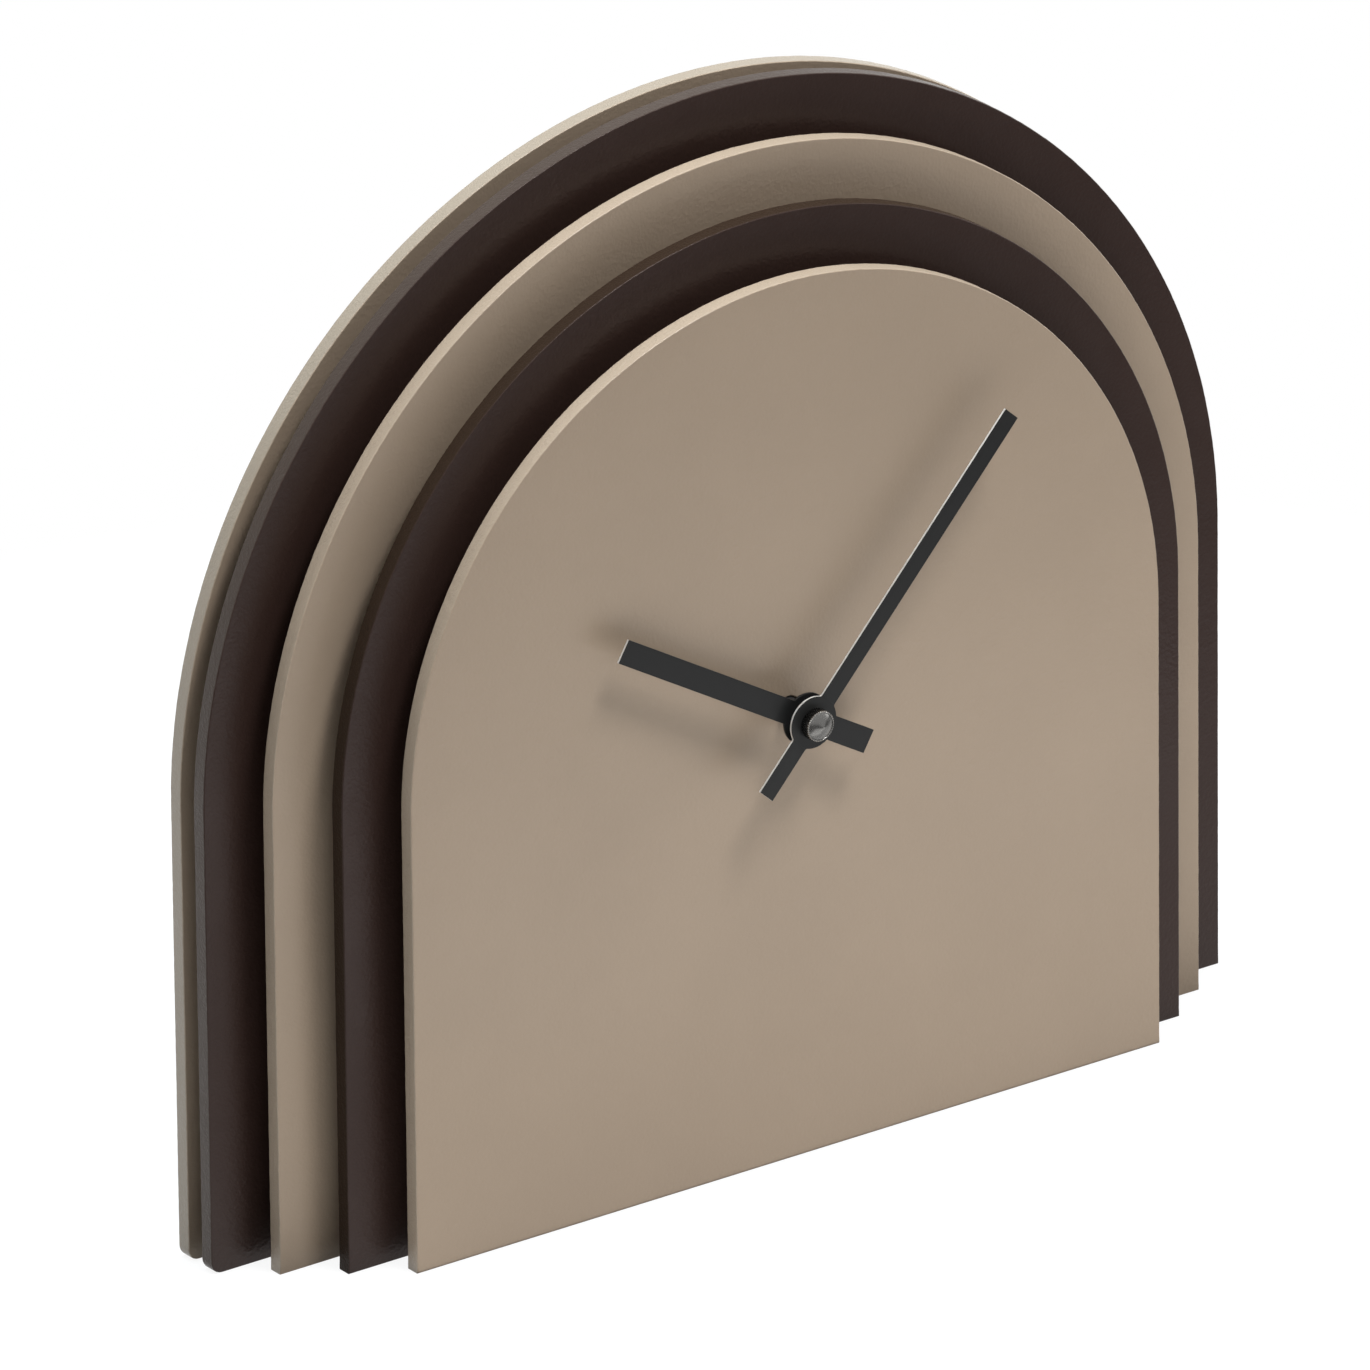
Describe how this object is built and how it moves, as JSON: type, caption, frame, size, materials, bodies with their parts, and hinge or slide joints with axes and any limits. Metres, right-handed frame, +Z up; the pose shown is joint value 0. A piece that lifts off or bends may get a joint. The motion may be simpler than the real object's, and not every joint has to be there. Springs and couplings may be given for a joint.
{
  "type": "layered arch shelf clock",
  "caption": "Free-standing quartz shelf clock of nested round-arched lacquered boards held apart in steps, with plain bar hands on the smallest board and a battery movement set in from behind.",
  "frame": {"origin": "middle of the bottom of the whole clock's box, on the surface it stands on", "axes": "+X to the right as the clock is seen from the front, +Y towards the back, +Z up; the face looks along -Y"},
  "size_m": [0.25, 0.0474, 0.223],
  "materials": {
    "taupe_lacquer": "matte lacquer on fine board, with a slight leathery grain",
    "brown_lacquer": "matte lacquer on fine board, with a slight leathery grain",
    "black_enamel": "matte black enamel on thin sheet",
    "cap_metal": "dark knurled metal with a bright rim",
    "screw_steel": "zinc plated",
    "nickel_strip": "nickel plated spring strip",
    "arbor_steel": "turned",
    "silicon_steel": "stamped lamination",
    "magnet": "sintered",
    "brass": "turned",
    "copper_wire": "enamelled copper wire",
    "black_rubber": "plain",
    "black_plastic": "moulded, fine spark texture",
    "white_acetal": "moulded",
    "grey_plastic": "moulded",
    "spacer_nylon": "turned, dark brown",
    "laminate": "green glass laminate",
    "crystal_can": "drawn can",
    "battery_wrap": "plain printed sleeve over a steel can"
  },
  "bodies": {
    "case": {"face_plate": "taupe_lacquer", "second_plate": "brown_lacquer", "third_plate": "taupe_lacquer", "fourth_plate": "brown_lacquer", "rear_plate": "taupe_lacquer", "threaded_standoffs": "spacer_nylon", "spacer_rings_front": "spacer_nylon", "spacer_rings_middle": "spacer_nylon", "spacer_rings_rear": "spacer_nylon", "stack_screws": "screw_steel", "threaded_bush": "brass", "rubber_gasket": "black_rubber", "nut_washer": "screw_steel", "fixing_nut": "brass", "stator_plate": "silicon_steel", "coil_core": "silicon_steel", "coil_bobbin": "grey_plastic", "coil_winding": "copper_wire", "circuit_board": "laminate", "quartz_crystal": "crystal_can", "timer_chip": "black_plastic", "positive_contact": "nickel_strip", "negative_contact": "nickel_strip", "movement_case": "black_plastic", "gear_plate": "black_plastic", "movement_cover": "black_plastic"},
    "minute_drive": {"minute_arbor": "arbor_steel", "minute_hand": "black_enamel", "cap_nut": "cap_metal", "clutch_spring": "nickel_strip"},
    "hour_drive": {"hour_wheel": "black_plastic", "hour_hand": "black_enamel", "hour_hand_collet": "brass"},
    "reduction_wheel": {"minute_wheel": "white_acetal"},
    "setting_drive": {"setting_wheel": "white_acetal", "setting_knob": "black_plastic"},
    "centre_gear": {"centre_wheel": "white_acetal"},
    "third_gear": {"third_wheel": "white_acetal"},
    "fourth_gear": {"fourth_wheel": "white_acetal"},
    "intermediate_gear": {"intermediate_wheel": "white_acetal"},
    "rotor": {"rotor_pinion": "white_acetal", "rotor_magnet": "magnet"},
    "battery": {"battery_cell": "battery_wrap"}
  },
  "joints": [
    {"name": "minute_spin", "type": "hinge", "parent": "case", "child": "minute_drive", "pos_m": [0, 0.004, 0.098], "axis": [0, 1, 0], "continuous": true},
    {"name": "hour_spin", "type": "hinge", "parent": "case", "child": "hour_drive", "pos_m": [0, 0.0027, 0.098], "axis": [0, 1, 0], "continuous": true},
    {"name": "reduction_spin", "type": "hinge", "parent": "case", "child": "reduction_wheel", "pos_m": [0.00789, 0.0045, 0.10087], "axis": [0, 1, 0], "continuous": true},
    {"name": "setting_spin", "type": "hinge", "parent": "case", "child": "setting_drive", "pos_m": [0.01608, 0.0045, 0.1056], "axis": [0, 1, 0], "continuous": true},
    {"name": "rotor_spin", "type": "hinge", "parent": "case", "child": "rotor", "pos_m": [0.00635, 0.0112, 0.11072], "axis": [0, 1, 0], "continuous": true},
    {"name": "intermediate_spin", "type": "hinge", "parent": "case", "child": "intermediate_gear", "pos_m": [0.00203, 0.0133, 0.10557], "axis": [0, 1, 0], "continuous": true},
    {"name": "fourth_spin", "type": "hinge", "parent": "case", "child": "fourth_gear", "pos_m": [0, 0.0115, 0.098], "axis": [0, 1, 0], "continuous": true},
    {"name": "third_spin", "type": "hinge", "parent": "case", "child": "third_gear", "pos_m": [-0.00873, 0.0097, 0.10304], "axis": [0, 1, 0], "continuous": true},
    {"name": "centre_spin", "type": "hinge", "parent": "case", "child": "centre_gear", "pos_m": [0, 0.0063, 0.098], "axis": [0, 1, 0], "continuous": true},
    {"name": "battery_slide", "type": "slide", "parent": "case", "child": "battery", "axis": [0, 1, 0], "range_m": [0, 0.03]}
  ],
  "couplings": [
    {"joint": "hour_spin", "follows": "minute_spin", "ratio": 0.083333},
    {"joint": "reduction_spin", "follows": "minute_spin", "ratio": -0.33333},
    {"joint": "setting_spin", "follows": "minute_spin", "ratio": 0.66667},
    {"joint": "intermediate_spin", "follows": "rotor_spin", "ratio": -0.2},
    {"joint": "fourth_spin", "follows": "rotor_spin", "ratio": 0.033333},
    {"joint": "third_spin", "follows": "rotor_spin", "ratio": -0.0044444},
    {"joint": "centre_spin", "follows": "rotor_spin", "ratio": 0.00055556}
  ]
}
